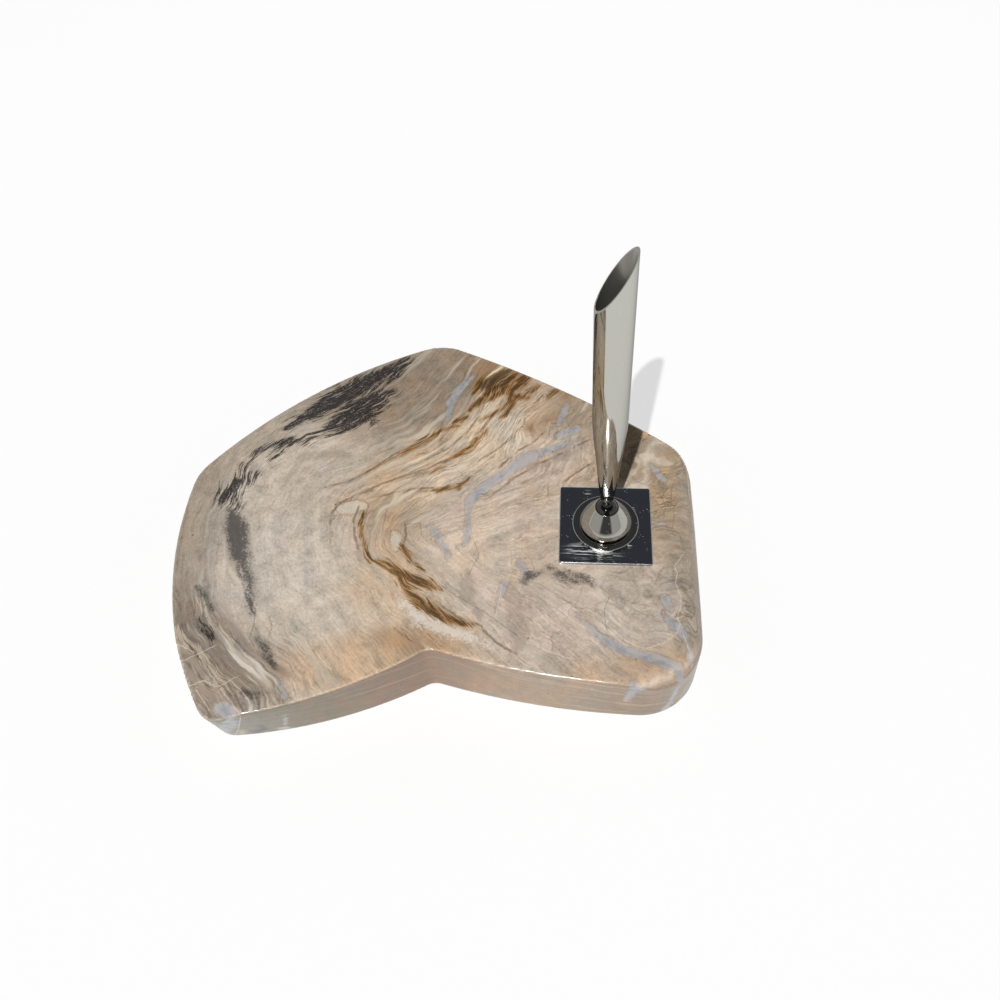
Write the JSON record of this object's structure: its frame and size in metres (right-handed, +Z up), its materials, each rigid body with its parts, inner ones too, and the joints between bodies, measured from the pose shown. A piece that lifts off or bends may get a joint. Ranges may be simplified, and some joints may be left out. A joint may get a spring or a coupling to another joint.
{
  "type": "pen stand",
  "caption": "Desk pen stand: a thick polished stone slab of free-form outline carries a square plate with a domed ball socket, and a long slant-mouthed pen funnel swivels in it.",
  "frame": {"origin": "on the desk under the middle of the slab's outline box, at the underside of the felt pads", "axes": "+X to the right along the slab's longer side, +Y away from the viewer, +Z up"},
  "size_m": [0.1994, 0.1755, 0.1591],
  "materials": {
    "stone": "polished",
    "chrome": "mirror polished",
    "steel": "zinc plated",
    "spring_steel": "oiled",
    "brass": "turned",
    "nylon": "moulded",
    "felt": "pressed felt"
  },
  "bodies": {
    "stand": {"stone_slab": "stone", "cover_plate": "chrome", "socket_base": "chrome", "socket_dome": "chrome", "disc_spring": "spring_steel", "mounting_stud": "steel", "clamp_washer": "steel", "lock_washer": "spring_steel", "hex_nut": "steel", "felt_pad_left_front": "felt", "felt_pad_left_back": "felt", "felt_pad_right_front": "felt", "felt_pad_right_back": "felt"},
    "seat": {"ball_seat": "nylon"},
    "ball": {"swivel_ball": "chrome", "funnel_screw": "steel"},
    "funnel": {"pen_funnel": "chrome", "end_bush": "brass"}
  },
  "joints": [
    {"name": "funnel_turn", "type": "hinge", "parent": "stand", "child": "seat", "pos_m": [0.06511, -0.00537, 0.0369], "axis": [0, 0, 1], "continuous": true},
    {"name": "funnel_tilt", "type": "hinge", "parent": "seat", "child": "ball", "pos_m": [0.06511, -0.00537, 0.0369], "axis": [-1, 0, 0], "range_deg": [-35, 35]},
    {"name": "funnel_spin", "type": "hinge", "parent": "ball", "child": "funnel", "pos_m": [0.06511, -0.00537, 0.0369], "axis": [-0.0279, 0, 0.9996], "continuous": true}
  ]
}
